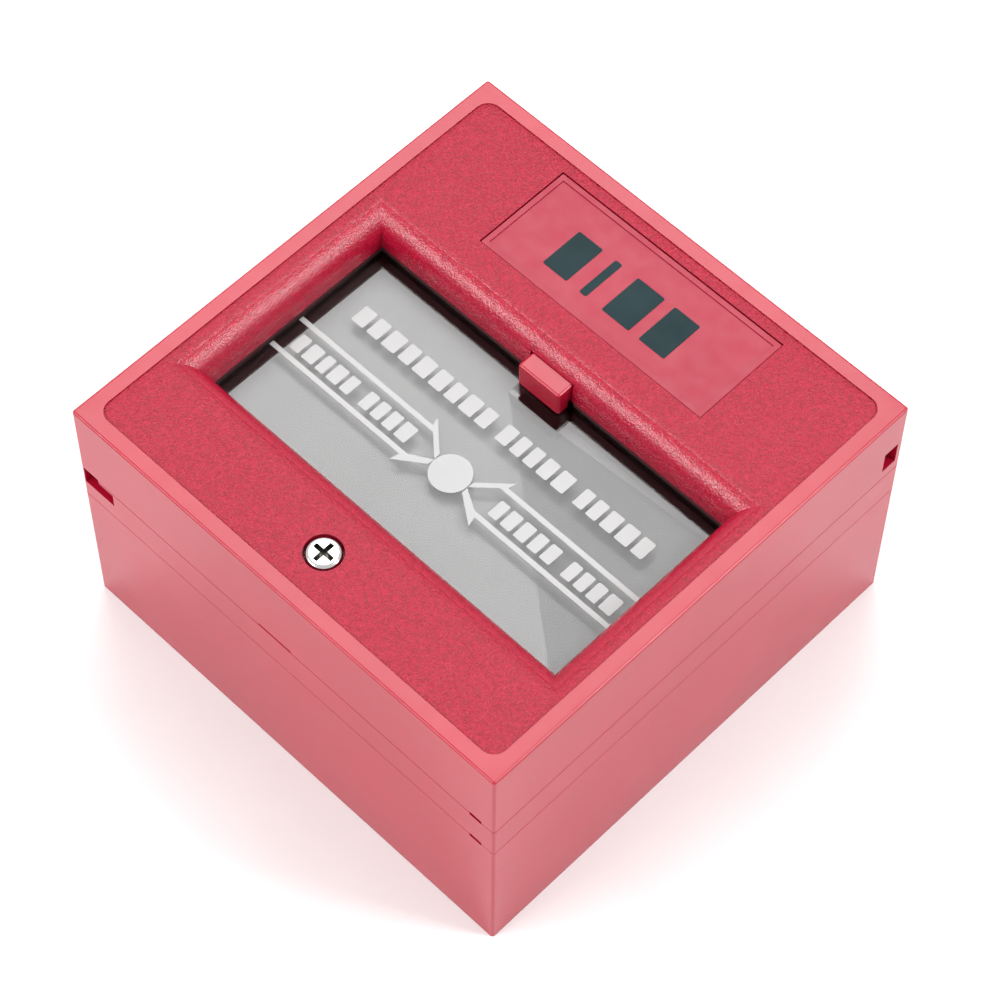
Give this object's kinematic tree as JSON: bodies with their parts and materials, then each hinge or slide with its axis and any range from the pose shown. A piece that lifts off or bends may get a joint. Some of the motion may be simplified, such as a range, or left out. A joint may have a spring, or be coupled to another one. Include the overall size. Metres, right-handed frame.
{
  "type": "manual call point",
  "caption": "Square red wall-mounted manual call point with a rounded window over a printed pane, a red catch, a label plate, a cover screw and a hinged front cover.",
  "frame": {"origin": "centre of the back face, on the wall", "axes": "+Z out of the wall towards the window; +Y up the wall towards the label; +X to the right, seen from the front"},
  "size_m": [0.086, 0.086, 0.05],
  "materials": {
    "red_plastic": "moulded red plastic, glossy with a grained face",
    "red_label": "smooth satin red plastic",
    "clear_pane": "clear printed pane",
    "grey_plastic": "light grey satin plastic",
    "black_rubber": "soft black rubber",
    "black_plastic": "black moulded plastic",
    "white_nylon": "natural nylon",
    "bright_steel": "bright plated steel",
    "steel": "plated steel",
    "brass": "turned brass",
    "tinned": "tinned metal",
    "green_plastic": "green moulded plastic",
    "board": "green circuit board",
    "component_body": "tan lacquer",
    "component_dark": "dark epoxy"
  },
  "bodies": {
    "casing": {"back_box": "red_plastic", "box_inserts": "brass", "cable_grommet": "black_rubber", "mounting_frame": "red_plastic", "cover_insert": "brass", "frame_screws": "steel", "circuit_board": "board", "board_screws": "steel", "switch_case": "black_plastic", "lever_pin": "steel", "switch_terminals": "tinned", "terminal_block": "green_plastic", "terminal_clamps": "tinned", "terminal_screws": "steel", "line_resistors": "component_body", "suppressor_diode": "component_dark"},
    "cover": {"front_cover": "red_plastic", "label_plate": "red_label", "glass_gasket": "black_rubber", "glass_carrier": "black_plastic", "carrier_screws": "steel", "plate_springs": "steel", "catch_spring": "steel"},
    "element": {"glass_pane": "clear_pane", "pressure_plate": "grey_plastic"},
    "catch": {"catch": "red_plastic"},
    "screw": {"cover_screw": "bright_steel", "screw_retainer": "white_nylon"},
    "lever": {"switch_lever": "steel"},
    "plunger": {"switch_plunger": "white_nylon"}
  },
  "joints": [
    {"name": "cover_hinge", "type": "hinge", "parent": "casing", "child": "cover", "pos_m": [0, 0.043, 0.0348], "axis": [-1, 0, 0], "range_deg": [0, 70]},
    {"name": "element_press", "type": "slide", "parent": "cover", "child": "element", "axis": [0, 0, -1], "range_m": [0, 0.0025], "stiffness_N_per_m": 400, "springref_m": -0.002, "deforming": ["plate_springs"]},
    {"name": "catch_slide", "type": "slide", "parent": "cover", "child": "catch", "axis": [0, 1, 0], "range_m": [0, 0.0025], "stiffness_N_per_m": 150, "springref_m": -0.002, "deforming": ["catch_spring"]},
    {"name": "screw_turn", "type": "hinge", "parent": "cover", "child": "screw", "pos_m": [0, -0.0337, 0.0405], "axis": [0, 0, 1], "continuous": true},
    {"name": "lever_tilt", "type": "hinge", "parent": "casing", "child": "lever", "pos_m": [-0.0105, -0.0054, 0.0263], "axis": [0, 1, 0], "range_deg": [0, 8.9]},
    {"name": "plunger_push", "type": "slide", "parent": "casing", "child": "plunger", "axis": [0, 0, -1], "range_m": [0, 0.00083]}
  ],
  "couplings": [
    {"joint": "lever_tilt", "follows": "element_press", "rad_per_m": 61.55},
    {"joint": "plunger_push", "follows": "element_press", "ratio": 0.3265}
  ]
}
